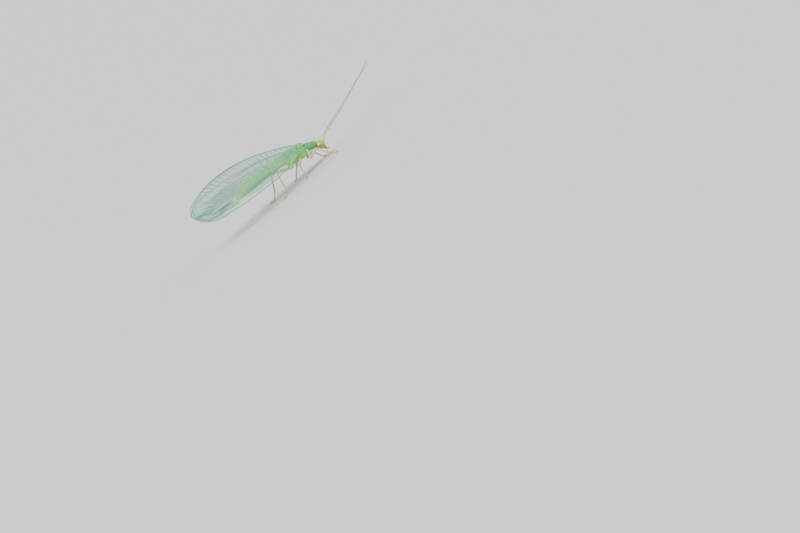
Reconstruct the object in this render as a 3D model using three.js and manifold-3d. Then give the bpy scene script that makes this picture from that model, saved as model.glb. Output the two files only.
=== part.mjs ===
// A green lacewing at life size, standing with its wings folded like a roof over its body.
// Millimetres, +X towards the head, +Y towards the insect's left, +Z up. The feet stand on one level.
import * as THREE from "three";
import { mergeVertices } from "three/addons/utils/BufferGeometryUtils.js";
import Module from "manifold-3d";

const wasm = await Module();
wasm.setup();

// Driving dimensions, in millimetres.
const GAP = 0.15; // between a node and what it grows from
const LIMB = 0.5; // thickness of the legs and feelers near their roots
const FOOT = 0.34; // thickness of a foot where it is cut flat
const FOOT_HEIGHT = 0.12; // from the floor to the middle of a foot
const EYE_RADIUS = 0.32;
const FOREWING_THICKNESS = 0.48;
const HINDWING_THICKNESS = 0.44;
const MARGIN_THICKNESS = 0.26; // where a wing thins towards its edge
const MARGIN_WIDTH = 0.55; // how far in from the edge a wing thins
const WING_GAP = 0.2; // between a forewing and the hindwing under it
const VEIN_HEIGHT = 0.1; // how far a vein stands out of the membrane
const CROSSVEIN_HEIGHT = 0.07;
const VEIN_WIDTH = 0.2;

// The roof that the folded wings make: its ridge line seen from the side, its slope and its open front.
const RIDGE = { height: 3.755, rise: -0.6012, bend: -0.03557 };
const ROOF = { frontLean: 46, lessLean: 30, power: 1.5, from: 0.5, length: 12 };
const RIDGE_GAP = { rear: 0.3, front: 0.45, from: -5, length: 6 };

// The trunk from the neck to the tail: [x, z] of its middle, half its height and half its width.
const TRUNK = [
  { at: [2.72, 1.72], high: 0.3, wide: 0.34 },
  { at: [2.5, 1.81], high: 0.38, wide: 0.46 },
  { at: [2.05, 2.0], high: 0.41, wide: 0.56 },
  { at: [1.62, 2.18], high: 0.42, wide: 0.54 },
  { at: [1.42, 2.22], high: 0.44, wide: 0.5 },
  { at: [1.2, 2.27], high: 0.66, wide: 0.68 },
  { at: [0.88, 2.33], high: 0.77, wide: 0.8 },
  { at: [0.5, 2.4], high: 0.75, wide: 0.8 },
  { at: [0.12, 2.45], high: 0.66, wide: 0.7 },
  { at: [-0.25, 2.56], high: 0.7, wide: 0.72 },
  { at: [-0.68, 2.68], high: 0.68, wide: 0.68 },
  { at: [-1.1, 2.78], high: 0.58, wide: 0.56 },
  { at: [-1.5, 2.85], high: 0.52, wide: 0.48 },
  { at: [-2.2, 2.96], high: 0.62, wide: 0.56 },
  { at: [-3.15, 3.08], high: 0.67, wide: 0.63 },
  { at: [-4.2, 3.16], high: 0.68, wide: 0.66 },
  { at: [-5.3, 3.18], high: 0.65, wide: 0.63 },
  { at: [-6.2, 3.12], high: 0.53, wide: 0.54 },
  { at: [-7.0, 3.03], high: 0.4, wide: 0.42 },
  { at: [-7.5, 2.95], high: 0.27, wide: 0.28 },
];
const TRUNK_SIDES = 16;
const TRUNK_STEPS = 53;
const TRUNK_CUTS = { mesothorax: 1.4, metathorax: 0.1, abdomen: -1.3 };
const CUT_PLATE = { wide: 3, high: 4, middle: 2.5, lean: 0.35 };
const RINGS = { count: 8, from: -1.55, to: -7.3, depth: 0.045, sharp: 5 };
const TAIL = { share: 0.06, tip: 0.1 }; // the last share of the trunk, which rounds to its tip

// Colours of the living insect.
const LEAF_GREEN = 0x8fd07a;
const SEA_GREEN = 0x7fcf9c;
const PALE_GREEN = 0xb5e0a0;
const HEAD_GREEN = 0xb8d86a;
const EYE_GOLD = 0xd9a878;
const LEG_GREEN = 0xc3d8a8;
const FEELER_BROWN = 0xc4a08c;
const WING_CLEAR = 0xc4ddd8;

const lerp = THREE.MathUtils.lerp;
const smooth = (value, from, length) =>
  THREE.MathUtils.smoothstep(value, from, from + length);

// A closed solid from a geometry, with its shared corners merged.
function solid(geometry) {
  const bare = geometry.clone();
  bare.deleteAttribute("normal");
  bare.deleteAttribute("uv");
  const merged = mergeVertices(bare, 1e-4);
  return new wasm.Manifold(
    new wasm.Mesh({
      numProp: 3,
      vertProperties: new Float32Array(merged.attributes.position.array),
      triVerts: new Uint32Array(merged.index.array),
    }),
  );
}

// The largest closed piece of a solid.
function largest(body) {
  return body.decompose().sort((a, b) => b.volume() - a.volume())[0];
}

function node(name, body, colour, roughness) {
  const made = largest(body).getMesh();
  const geometry = new THREE.BufferGeometry();
  geometry.setAttribute("position", new THREE.BufferAttribute(made.vertProperties, 3));
  geometry.setIndex(new THREE.BufferAttribute(made.triVerts, 1));
  geometry.computeVertexNormals();
  const material = new THREE.MeshStandardMaterial({ color: colour, roughness, metalness: 0 });
  const mesh = new THREE.Mesh(geometry, material);
  mesh.name = name;
  return mesh;
}

const join = (bodies) => bodies.reduce((sum, body) => sum.add(body));

// A closed tube: a cylinder bent along a curve. radii(t) gives its half height and half width at t.
function tube(curve, radii, sides, steps) {
  const geometry = new THREE.CylinderGeometry(1, 1, 1, sides, steps);
  const position = geometry.attributes.position;
  const side = new THREE.Vector3();
  const up = new THREE.Vector3();
  for (let i = 0; i < position.count; i += 1) {
    const t = THREE.MathUtils.clamp(0.5 - position.getY(i), 0, 1);
    const along = curve.getTangent(t);
    side.crossVectors(new THREE.Vector3(0, 0, 1), along);
    if (side.length() < 0.05) side.set(0, 1, 0);
    side.normalize();
    up.crossVectors(along, side).normalize();
    const [high, wide] = radii(t);
    const point = curve.getPoint(t);
    point.addScaledVector(side, position.getX(i) * wide);
    point.addScaledVector(up, position.getZ(i) * high);
    position.setXYZ(i, point.x, point.y, point.z);
  }
  const made = solid(geometry);
  return made.volume() < 0 ? solid(turned(geometry)) : made;
}

// The same surface with its faces turned round.
function turned(geometry) {
  const index = geometry.index.array;
  for (let i = 0; i < index.length; i += 3) [index[i], index[i + 1]] = [index[i + 1], index[i]];
  return geometry;
}

function ball(place, high, wide, long, tilt = 0, sides = 16, rows = 11) {
  const geometry = new THREE.SphereGeometry(1, sides, rows);
  geometry.scale(long, wide, high);
  geometry.rotateY(tilt);
  geometry.translate(...place);
  return solid(geometry);
}

// The trunk

const trunkCurve = new THREE.CatmullRomCurve3(
  TRUNK.map(({ at }) => new THREE.Vector3(at[0], 0, at[1])),
);

function trunkRadii(t, extra) {
  const place = t * (TRUNK.length - 1);
  const i = Math.min(Math.floor(place), TRUNK.length - 2);
  const part = smooth(place - i, 0, 1);
  const rounded = Math.sqrt(Math.min(1, (1 - t) / TAIL.share + TAIL.tip));
  return [
    lerp(TRUNK[i].high, TRUNK[i + 1].high, part) * rounded + extra,
    lerp(TRUNK[i].wide, TRUNK[i + 1].wide, part) * rounded + extra,
  ];
}

// The fine groove at the joint of two abdomen segments.
function ringGroove(x) {
  const place = (RINGS.from - x) / (RINGS.from - RINGS.to);
  if (place < 0 || place > 1) return 0;
  const phase = place * RINGS.count;
  return RINGS.depth * Math.max(0, 1 - RINGS.sharp * Math.abs(phase - Math.round(phase)));
}

function trunk(extra = 0) {
  return tube(
    trunkCurve,
    (t) => {
      const [high, wide] = trunkRadii(t, extra);
      const groove = extra ? 0 : ringGroove(trunkCurve.getPoint(t).x);
      return [high - groove, wide - groove];
    },
    TRUNK_SIDES,
    extra ? TRUNK_STEPS / 2 : TRUNK_STEPS,
  );
}

// A thin plate square to the trunk, which parts it in two.
function cut(x) {
  const plate = new THREE.BoxGeometry(GAP, CUT_PLATE.wide, CUT_PLATE.high);
  plate.rotateY(CUT_PLATE.lean);
  plate.translate(x, 0, CUT_PLATE.middle);
  return solid(plate);
}

const trunkSpace = trunk(GAP);

// The head

const HEAD = { at: [2.94, 0, 1.48], high: 0.48, wide: 0.56, long: 0.39, tilt: 0.25 };
const FACE = { at: [3.13, 0, 1.2], high: 0.34, wide: 0.33, long: 0.24, tilt: 0.45 };
const EYE = { at: [2.76, 0.5, 1.52] };

function headShape(extra) {
  const skull = ball(
    HEAD.at, HEAD.high + extra, HEAD.wide + extra, HEAD.long + extra, HEAD.tilt, 18, 12,
  );
  const face = ball(
    FACE.at, FACE.high + extra, FACE.wide + extra, FACE.long + extra, FACE.tilt, 14, 9,
  );
  return skull.add(face);
}

function eyeShape(side, extra) {
  const place = [EYE.at[0], side * EYE.at[1], EYE.at[2]];
  return ball(place, EYE_RADIUS + extra, EYE_RADIUS + extra, EYE_RADIUS + extra, 0, 16, 12);
}

const headSpace = headShape(GAP);

// Legs

// Each leg by its joints: hip, ring, knee, ankle and toe.
const LEGS = {
  front_right: [
    [1.45, -0.3, 2.0], [1.14, -0.78, 1.17], [1.9, -1.5, 1.62], [2.62, -1.8, 0.56], [3.3, -1.96],
  ],
  front_left: [
    [1.45, 0.3, 2.0], [1.3, 0.8, 1.2], [2.2, 1.5, 1.3], [2.6, 1.36, 0.44], [3.05, 1.26],
  ],
  mid_right: [
    [0.42, -0.38, 1.9], [-0.12, -0.9, 1.5], [-0.48, -1.62, 1.5], [-0.72, -2.0, 0.62], [-0.95, -2.25],
  ],
  mid_left: [
    [0.42, 0.38, 1.9], [-0.02, 0.9, 1.45], [0.1, 1.68, 1.2], [-0.5, 2.05, 0.5], [-0.95, 2.3],
  ],
  hind_right: [
    [-0.55, -0.36, 2.2], [-0.95, -0.72, 1.66], [-2.66, -1.1, 2.36], [-3.12, -1.8, 0.78], [-3.95, -2.05],
  ],
  hind_left: [
    [-0.55, 0.36, 2.2], [-0.95, 0.72, 1.66], [-2.66, 1.1, 2.36], [-3.4, 1.75, 0.68], [-4.3, 2.05],
  ],
};
const LEG_THICK = {
  hip: LIMB + 0.1,
  ring: LIMB,
  knee: LIMB - 0.03,
  ankle: LIMB - 0.08,
  heel: LIMB - 0.1,
  sole: FOOT + 0.04,
  toe: FOOT,
};
const SOLE_SHARE = 0.55; // how far from the ankle to the toe the foot bends
const SOLE_RISE = 0.02;

// A limb joint to joint, fatter in its middle and round at both ends.
function segment(from, to, thick, thin, sides = 7, rings = 2) {
  const a = new THREE.Vector3(...from);
  const b = new THREE.Vector3(...to);
  const along = b.clone().sub(a);
  const half = along.length() / 2;
  const geometry = new THREE.CapsuleGeometry(1, 2 * half, rings, sides);
  const position = geometry.attributes.position;
  for (let i = 0; i < position.count; i += 1) {
    const y = position.getY(i);
    const radius = lerp(thick, thin, THREE.MathUtils.clamp((y + half) / (2 * half), 0, 1)) / 2;
    const cap = Math.sign(y) * Math.max(0, Math.abs(y) - half) * radius;
    const middle = THREE.MathUtils.clamp(y, -half, half);
    position.setXYZ(i, position.getX(i) * radius, middle + cap, position.getZ(i) * radius);
  }
  const turn = new THREE.Quaternion().setFromUnitVectors(
    new THREE.Vector3(0, 1, 0),
    along.normalize(),
  );
  geometry.applyQuaternion(turn);
  geometry.translate((a.x + b.x) / 2, (a.y + b.y) / 2, (a.z + b.z) / 2);
  return solid(geometry);
}

function leg(points) {
  const [hip, ring, knee, ankle, toe] = points;
  const claw = [toe[0], toe[1], FOOT_HEIGHT];
  const sole = [
    lerp(ankle[0], claw[0], SOLE_SHARE),
    lerp(ankle[1], claw[1], SOLE_SHARE),
    FOOT_HEIGHT + SOLE_RISE,
  ];
  const whole = join([
    segment(hip, ring, LEG_THICK.hip, LEG_THICK.ring),
    segment(ring, knee, LEG_THICK.ring, LEG_THICK.knee),
    segment(knee, ankle, LEG_THICK.knee, LEG_THICK.ankle),
    segment(ankle, sole, LEG_THICK.heel, LEG_THICK.sole),
    segment(sole, claw, LEG_THICK.sole, LEG_THICK.toe),
  ]);
  const floor = new THREE.BoxGeometry(4, 4, 1);
  floor.translate(toe[0], toe[1], -0.5);
  return whole.subtract(solid(floor)).subtract(trunkSpace);
}

// Feelers and mouthparts

const FEELERS = {
  antenna_left: [
    [3.36, 0.17, 1.52], [3.95, 0.42, 1.95], [5.6, 0.9, 2.35], [8.26, 1.5, 3.0], [10.6, 2.05, 3.6],
    [12.84, 2.5, 4.07],
  ],
  antenna_right: [
    [3.36, -0.17, 1.52], [3.95, -0.42, 1.98], [5.5, -0.9, 2.5], [7.8, -1.5, 3.35], [9.8, -2.0, 4.15],
    [11.6, -2.5, 4.98],
  ],
};
const FEELER_TIP = { radius: 0.14, from: 0.45, length: 0.5, round: 0.04, blunt: 0.2 };
const FEELER_SIDES = 7;
const FEELER_STEPS = 26;

function feeler(points) {
  const curve = new THREE.CatmullRomCurve3(points.map((p) => new THREE.Vector3(...p)));
  const radii = (t) => {
    const width = lerp(LIMB / 2, FEELER_TIP.radius, smooth(t, FEELER_TIP.from, FEELER_TIP.length));
    const radius = width * Math.sqrt(Math.min(1, (1 - t) / FEELER_TIP.round + FEELER_TIP.blunt));
    return [radius, radius];
  };
  return tube(curve, radii, FEELER_SIDES, FEELER_STEPS).subtract(headSpace);
}

const PALPS = [
  { from: [3.15, 0.2, 1.0], knee: [3.22, 0.33, 0.76], tip: [3.42, 0.37, 0.62] },
  { from: [3.13, 0.08, 0.95], knee: [3.16, 0.12, 0.7], tip: [3.3, 0.14, 0.56] },
];
const PALP_THICK = { root: 0.25, tip: 0.17 };
const JAWS = { at: [3.17, 0, 0.86], high: 0.2, wide: 0.26, long: 0.17, tilt: 0.4 };

function mouthparts() {
  const jaws = ball(JAWS.at, JAWS.high, JAWS.wide, JAWS.long, JAWS.tilt, 10, 6);
  const palps = PALPS.flatMap(({ from, knee, tip }) =>
    [-1, 1].flatMap((side) => {
      const place = (p) => [p[0], side * p[1], p[2]];
      return [
        segment(place(from), place(knee), PALP_THICK.root, PALP_THICK.root, 5, 1),
        segment(place(knee), place(tip), PALP_THICK.root, PALP_THICK.tip, 5, 1),
      ];
    }),
  );
  return join([jaws, ...palps]).subtract(headSpace);
}

// Wings

// Each wing by its outline seen from the side, [x, z]: the front edge below and the hind edge above.
const FOREWING = {
  thickness: FOREWING_THICKNESS,
  inset: 0,
  rootSide: 0.5,
  rootShare: 0.085,
  costal: [
    [0.98, 2.55], [-0.78, 2.39], [-3.17, 2.14], [-5.89, 2.28], [-8.08, 2.48], [-10.16, 2.75],
    [-11.21, 3.36], [-11.7, 4.05],
  ],
  hind: [
    [1.02, 2.95], [-0.05, 3.65], [-1.7, 4.43], [-3.69, 5.25], [-5.87, 5.76], [-7.9, 5.93],
    [-9.28, 5.84], [-10.79, 5.5], [-11.45, 5.22], [-11.84, 4.68],
  ],
  veins: [0.13, 0.3, 0.5, 0.72],
  crossveins: [0.17, 0.28, 0.39, 0.5, 0.61, 0.72, 0.83],
  slant: 0.06,
};
const HINDWING = {
  thickness: HINDWING_THICKNESS,
  inset: (FOREWING_THICKNESS + HINDWING_THICKNESS) / 2 + WING_GAP,
  rootSide: 0.45,
  rootShare: 0.11,
  costal: [
    [-0.35, 2.85], [-1.5, 2.9], [-2.9, 2.62], [-4.6, 2.5], [-6.6, 2.66], [-8.7, 2.9], [-10.1, 3.3],
    [-10.6, 3.7],
  ],
  hind: [
    [-0.3, 3.2], [-1.4, 3.72], [-3.0, 4.3], [-5.0, 4.62], [-7.0, 4.72], [-8.8, 4.6], [-10.0, 4.35],
    [-10.62, 4.02],
  ],
  veins: [0.16, 0.62],
  crossveins: [0.25, 0.45, 0.65, 0.83],
  slant: 0.04,
};
const SLANT_FROM = 0.3; // the share of the wing's width at which a crossvein doesn't slant
const VEIN_SHARE = 0.03; // half a long vein's width, as a share of the wing's
const EDGE_ROWS = [0, 0.045, 0.93, 1];
const EDGE_COLUMNS = [0, 0.03, 0.06, 0.095, 0.94, 0.975, 1];

const ridgeAt = (x) => RIDGE.height + RIDGE.rise * x + RIDGE.bend * x * x;

// How far to the side the roof of the wings lies at a place seen from the side.
function roofSide(x, z, inset) {
  const back = THREE.MathUtils.clamp((ROOF.from - x) / ROOF.length, 0, 1);
  const lean = THREE.MathUtils.degToRad(ROOF.frontLean - ROOF.lessLean * back ** ROOF.power);
  const open = RIDGE_GAP.rear + RIDGE_GAP.front * smooth(x, RIDGE_GAP.from, RIDGE_GAP.length);
  return open + Math.max(ridgeAt(x) - z, 0) * Math.tan(lean) - inset / Math.cos(lean);
}

function wingSurface(wing, side) {
  const curve = (points) =>
    new THREE.CatmullRomCurve3(points.map(([x, z]) => new THREE.Vector3(x, 0, z)));
  const costal = curve(wing.costal);
  const hind = curve(wing.hind);
  return (u, v) => {
    const slant = wing.slant * Math.sin(Math.PI * u) * (v - SLANT_FROM);
    const bent = THREE.MathUtils.clamp(u + slant, 0, 1);
    const point = costal.getPointAt(bent).lerp(hind.getPointAt(bent), v);
    const roof = roofSide(point.x, point.z, wing.inset);
    point.y = side * lerp(wing.rootSide, roof, smooth(u, 0, wing.rootShare));
    return point;
  };
}

// The places of the mesh rows or columns, with three for each vein: its foot, its crest and its foot.
function lines(crests, half, extra) {
  const marks = extra.map((at) => ({ at, crest: false }));
  crests.forEach((at) => {
    marks.push({ at: at - half, crest: false }, { at, crest: true }, { at: at + half, crest: false });
  });
  return marks.sort((a, b) => a.at - b.at);
}

// A closed slab on a wing's surface, split into triangles alike on both faces, with raised veins.
function wingSlab(wing, side) {
  const surface = wingSurface(wing, side);
  const span = Math.abs(wing.costal[0][0] - wing.costal.at(-1)[0]);
  const rows = lines(wing.veins, VEIN_SHARE, EDGE_ROWS);
  const columns = lines(wing.crossveins, VEIN_WIDTH / 2 / span, EDGE_COLUMNS);
  const nu = columns.length - 1;
  const nv = rows.length - 1;
  const plane = new THREE.PlaneGeometry(1, 1, nu, nv);
  const count = plane.attributes.position.count;
  const points = new Float32Array(count * 6);
  const step = 1e-3;
  for (let i = 0; i < count; i += 1) {
    const column = columns[i % (nu + 1)];
    const row = rows[Math.floor(i / (nu + 1))];
    const u = THREE.MathUtils.clamp(column.at, step, 1 - step);
    const v = THREE.MathUtils.clamp(row.at, step, 1 - step);
    const along = surface(u + step, v).sub(surface(u - step, v));
    const across = surface(u, v + step).sub(surface(u, v - step));
    const out = new THREE.Vector3().crossVectors(along, across).normalize();
    if (out.y * side < 0) out.negate();
    const place = surface(column.at, row.at);
    const chord = surface(column.at, 0).distanceTo(surface(column.at, 1));
    const edge = Math.min(row.at * chord, (1 - row.at) * chord, (1 - column.at) * span);
    const thick = lerp(MARGIN_THICKNESS, wing.thickness, smooth(edge, 0, MARGIN_WIDTH));
    const inside = row.at > 0 && row.at < 1 && column.at > 0 && column.at < 1;
    const vein = row.crest ? VEIN_HEIGHT : column.crest && inside ? CROSSVEIN_HEIGHT : 0;
    place.clone().addScaledVector(out, thick / 2 + vein).toArray(points, i * 3);
    place.clone().addScaledVector(out, -thick / 2).toArray(points, (count + i) * 3);
  }
  const top = Array.from(plane.index.array);
  const triangles = [...top];
  for (let i = 0; i < top.length; i += 3) {
    triangles.push(top[i] + count, top[i + 2] + count, top[i + 1] + count);
  }
  const rim = [];
  for (let i = 0; i < nu; i += 1) rim.push(i);
  for (let j = 0; j < nv; j += 1) rim.push(j * (nu + 1) + nu);
  for (let i = nu; i > 0; i -= 1) rim.push(nv * (nu + 1) + i);
  for (let j = nv; j > 0; j -= 1) rim.push(j * (nu + 1));
  rim.forEach((a, k) => {
    const b = rim[(k + 1) % rim.length];
    triangles.push(a, b, a + count, b, b + count, a + count);
  });
  const geometry = new THREE.BufferGeometry();
  geometry.setAttribute("position", new THREE.BufferAttribute(points, 3));
  geometry.setIndex(triangles);
  const made = solid(geometry);
  return made.volume() < 0 ? solid(turned(geometry)) : made;
}

const wing = (form, side) => wingSlab(form, side).subtract(trunkSpace);

// The whole insect

const cuts = join(Object.values(TRUNK_CUTS).map(cut));
const trunkParts = trunk()
  .subtract(headSpace)
  .subtract(cuts)
  .decompose()
  .sort((a, b) => b.boundingBox().max[0] - a.boundingBox().max[0]);

const insect = new THREE.Group();
insect.add(
  node("head", headShape(0).subtract(eyeShape(1, GAP / 2)).subtract(eyeShape(-1, GAP / 2)),
    HEAD_GREEN, 0.45),
  node("mouthparts", mouthparts(), FEELER_BROWN, 0.5),
  node("prothorax", trunkParts[0], LEAF_GREEN, 0.5),
  node("mesothorax", trunkParts[1], LEAF_GREEN, 0.5),
  node("metathorax", trunkParts[2], SEA_GREEN, 0.5),
  node("abdomen", trunkParts[3], PALE_GREEN, 0.55),
);
for (const [word, side] of [["left", 1], ["right", -1]]) {
  insect.add(node(`eye_${word}`, eyeShape(side, 0), EYE_GOLD, 0.2));
  insect.add(node(`forewing_${word}`, wing(FOREWING, side), WING_CLEAR, 0.25));
  insect.add(node(`hindwing_${word}`, wing(HINDWING, side), WING_CLEAR, 0.25));
}
for (const [name, points] of Object.entries(FEELERS)) {
  insect.add(node(name, feeler(points), FEELER_BROWN, 0.5));
}
for (const [name, points] of Object.entries(LEGS)) {
  insect.add(node(`leg_${name}`, leg(points), LEG_GREEN, 0.5));
}

// The origin stands on the floor, under the middle of the whole insect.
const box = new THREE.Box3().setFromObject(insect, true);
insect.position.set(-(box.min.x + box.max.x) / 2, -(box.min.y + box.max.y) / 2, -box.min.z);

export default insect;
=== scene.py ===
# %% [markdown]
# A green lacewing at life size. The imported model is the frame: its solids say where each part of the
# insect lies, and the pieces made here take their place with the real thickness, colour and finish.
# All shapes are worked out in millimetres, as an insect is measured, and are turned to metres once,
# when a piece is finished.

# %% The frame
import bisect
import bmesh
import bpy
import math
import random
from mathutils import Matrix, Quaternion, Vector, noise


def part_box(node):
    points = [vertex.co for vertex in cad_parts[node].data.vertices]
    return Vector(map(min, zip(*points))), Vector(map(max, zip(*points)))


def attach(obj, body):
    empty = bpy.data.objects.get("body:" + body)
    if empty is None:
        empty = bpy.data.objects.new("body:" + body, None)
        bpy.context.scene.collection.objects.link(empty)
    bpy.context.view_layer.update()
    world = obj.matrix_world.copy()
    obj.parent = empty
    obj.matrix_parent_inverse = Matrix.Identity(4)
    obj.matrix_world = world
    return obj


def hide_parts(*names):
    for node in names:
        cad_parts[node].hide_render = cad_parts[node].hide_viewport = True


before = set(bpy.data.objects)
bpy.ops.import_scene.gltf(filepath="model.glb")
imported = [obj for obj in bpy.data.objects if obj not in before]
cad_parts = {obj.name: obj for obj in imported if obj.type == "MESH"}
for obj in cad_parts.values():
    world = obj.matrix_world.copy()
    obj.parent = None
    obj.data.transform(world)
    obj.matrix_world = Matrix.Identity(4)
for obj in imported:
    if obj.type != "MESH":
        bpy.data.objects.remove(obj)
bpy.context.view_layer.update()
MM = 0.001
UP = Vector((0, 0, 1))
EYE_PLACE = Vector((2.76, -0.5, 1.52))  # the right eye, from the point between the middle legs
eye_low, eye_high = (Vector(corner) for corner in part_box("eye_right"))
SHIFT = (eye_low + eye_high) / 2 - EYE_PLACE * MM
print("the insect's own origin lies at", [round(c / MM, 2) for c in SHIFT], "mm")

# %% [markdown]
# The camera stands at the insect's right, a little behind and above it, and leans to its side, so that
# the insect climbs across the picture. The picture is 800 by 533 pixels at a tenth of a millimetre
# each where the insect stands. A long lens from 0.3 m gives the flat look of a close-up.

# %% Camera
PICTURE = (800, 533)
PIXEL = 0.1
TURN, LIFT, ROLL = (math.radians(angle) for angle in (-14, 10, 40))
BODY_PIXEL = (292, 155)
BODY_PLACE = Vector((0, 0, 2.55))
DISTANCE = 300
SENSOR = 36

level = Vector((math.cos(TURN), math.sin(TURN), 0))
steep = Vector((-math.sin(TURN) * math.sin(LIFT), math.cos(TURN) * math.sin(LIFT), math.cos(LIFT)))
PICTURE_RIGHT = level * math.cos(ROLL) - steep * math.sin(ROLL)
PICTURE_UP = level * math.sin(ROLL) + steep * math.cos(ROLL)
TO_CAMERA = PICTURE_RIGHT.cross(PICTURE_UP)
aim = BODY_PLACE
aim = aim + PICTURE_RIGHT * (PICTURE[0] / 2 - BODY_PIXEL[0]) * PIXEL
aim = aim - PICTURE_UP * (PICTURE[1] / 2 - BODY_PIXEL[1]) * PIXEL

camera = bpy.data.objects.new("camera", bpy.data.cameras.new("camera"))
camera.data.sensor_width = SENSOR
camera.data.lens = SENSOR * DISTANCE / (PICTURE[0] * PIXEL)
camera.data.clip_start = 0.01
camera.data.clip_end = 50
facing = Matrix((PICTURE_RIGHT, PICTURE_UP, TO_CAMERA)).transposed()
camera.matrix_world = Matrix.Translation((aim + TO_CAMERA * DISTANCE) * MM + SHIFT) @ facing.to_4x4()
bpy.context.scene.collection.objects.link(camera)
bpy.context.scene.camera = camera
print("lens", round(camera.data.lens), "mm")
print("camera height", round(camera.matrix_world.translation.z, 3), "m")

# %% [markdown]
# Colours are written as the hex values that a screen shows. Light adds up in linear values, so one
# function turns them. Another adds a node with its settings and links, and every material uses it.

# %% Colours and nodes
def linear(shade):
    channels = [int(shade[i : i + 2], 16) / 255 for i in (1, 3, 5)]
    return [c / 12.92 if c <= 0.04045 else ((c + 0.055) / 1.055) ** 2.4 for c in channels]


def add(tree, kind, inputs=None, **settings):
    made = tree.nodes.new(kind)
    for name, value in settings.items():
        setattr(made, name, value)
    for name, value in (inputs or {}).items():
        socket = made.inputs[name]
        if isinstance(value, bpy.types.NodeSocket):
            tree.links.new(value, socket)
        elif isinstance(value, str):
            socket.default_value = (*linear(value), 1)
        else:
            socket.default_value = value
    return made


def blank(name):
    made = bpy.data.materials.new(name)
    made.use_nodes = True
    made.node_tree.nodes.clear()
    return made, made.node_tree


def close(tree, shader):
    add(tree, "ShaderNodeOutputMaterial", {"Surface": shader.outputs[0]})


# %% [markdown]
# The floor is a plain pale sheet, far larger than the insect, so that it fills the whole view at the
# camera's low angle. The light is a broad, soft sun from above and behind the camera, a weaker one
# from the head's side, another from beyond the insect, and a pale sky. The shadows stay soft.

# %% Floor and light
FLOOR_SIZE = 12
SKY = 0.55
floor_mesh = bmesh.new()
bmesh.ops.create_grid(floor_mesh, x_segments=1, y_segments=1, size=FLOOR_SIZE / 2)
floor = bpy.data.objects.new("floor", bpy.data.meshes.new("floor"))
floor_mesh.to_mesh(floor.data)
floor_mesh.free()
bpy.context.scene.collection.objects.link(floor)
paper, tree = blank("matt studio paper")
close(tree, add(tree, "ShaderNodeBsdfPrincipled", {"Base Color": "#d3d4d0", "Roughness": 0.9}))
floor.data.materials.append(paper)

for name, strength, spread, place in (
    ("key", 3.6, 32, (-0.5, -0.8, 1.5)),
    ("fill", 1.0, 60, (1.2, -0.6, 0.9)),
    ("back", 1.3, 50, (-0.6, 1.2, 1.0)),
):
    sun = bpy.data.objects.new(name, bpy.data.lights.new(name, "SUN"))
    sun.data.energy = strength
    sun.data.angle = math.radians(spread)
    sun.rotation_euler = Vector(place).to_track_quat("Z", "Y").to_euler()
    bpy.context.scene.collection.objects.link(sun)
world = bpy.data.worlds.new("soft sky")
world.use_nodes = True
world.node_tree.nodes["Background"].inputs["Color"].default_value = (*linear("#dfe6ee"), 1)
world.node_tree.nodes["Background"].inputs["Strength"].default_value = SKY
bpy.context.scene.world = world
print("floor", FLOOR_SIZE, "m across")

# %% [markdown]
# Small tools for shapes. A path is a smooth line through a few points, even along its length. A tube
# is a cylinder whose rings are moved along a path, so that a feeler, a leg or the trunk are all one
# kind of thing with another outline. A blob is a ball that is stretched, tilted and moved.

# %% Paths, tubes and blobs
def smooth(value, low, high):
    share = min(max((value - low) / (high - low), 0), 1)
    return share * share * (3 - 2 * share)


def mix(a, b, share):
    return a + (b - a) * share


def path(points, steps=16):
    knots = [Vector(p) for p in points]
    fine = []
    for i in range(len(knots) - 1):
        a, b, c = knots[max(i - 1, 0)], knots[i], knots[i + 1]
        d = knots[min(i + 2, len(knots) - 1)]
        for k in range(steps):
            s = k / steps
            bend = (2 * a - 5 * b + 4 * c - d) * s * s + (3 * b - a - 3 * c + d) * s**3
            fine.append((2 * b + (c - a) * s + bend) / 2)
    fine.append(knots[-1])
    run = [0]
    for p, q in zip(fine, fine[1:]):
        run.append(run[-1] + (q - p).length)

    def at(t):
        want = min(max(t, 0), 1) * run[-1]
        i = bisect.bisect_left(run, want, 1, len(run) - 1)
        share = (want - run[i - 1]) / max(run[i] - run[i - 1], 1e-9)
        return fine[i - 1].lerp(fine[i], share)

    at.length = run[-1]
    return at


def drum(sides, rings):
    bm = bmesh.new()
    bmesh.ops.create_cone(bm, cap_ends=True, segments=sides, radius1=1, radius2=1, depth=1)
    upright = [e for e in bm.edges if abs(e.verts[0].co.z - e.verts[1].co.z) > 0.5]
    bmesh.ops.subdivide_edges(bm, edges=upright, cuts=rings - 1, use_grid_fill=True)
    return bm


# radii(t) gives the half height and half width of each ring, with t from 0 to 1 along the way.
def tube(way, radii, sides, rings):
    bm = drum(sides, rings)
    step = 0.5 / rings
    frames = {}
    for v in bm.verts:
        t = round(v.co.z + 0.5, 5)
        if t not in frames:
            along = (way(t + step) - way(t - step)).normalized()
            side = UP.cross(along)
            side = side.normalized() if side.length > 0.05 else Vector((0, 1, 0))
            frames[t] = (way(t), side, along.cross(side), radii(t))
        centre, side, over, (high, wide) = frames[t]
        v.co = centre + side * v.co.x * wide + over * v.co.y * high
    return bm


def blob(place, radii, tilt=0.0, turn=0.0, sides=28):
    bm = bmesh.new()
    lean = Matrix.Rotation(turn, 4, "Z") @ Matrix.Rotation(tilt, 4, "Y")
    matrix = Matrix.Translation(place) @ lean @ Matrix.Diagonal((*radii, 1))
    bmesh.ops.create_uvsphere(bm, u_segments=sides, v_segments=sides // 2 + 2, radius=1, matrix=matrix)
    return bm


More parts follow.
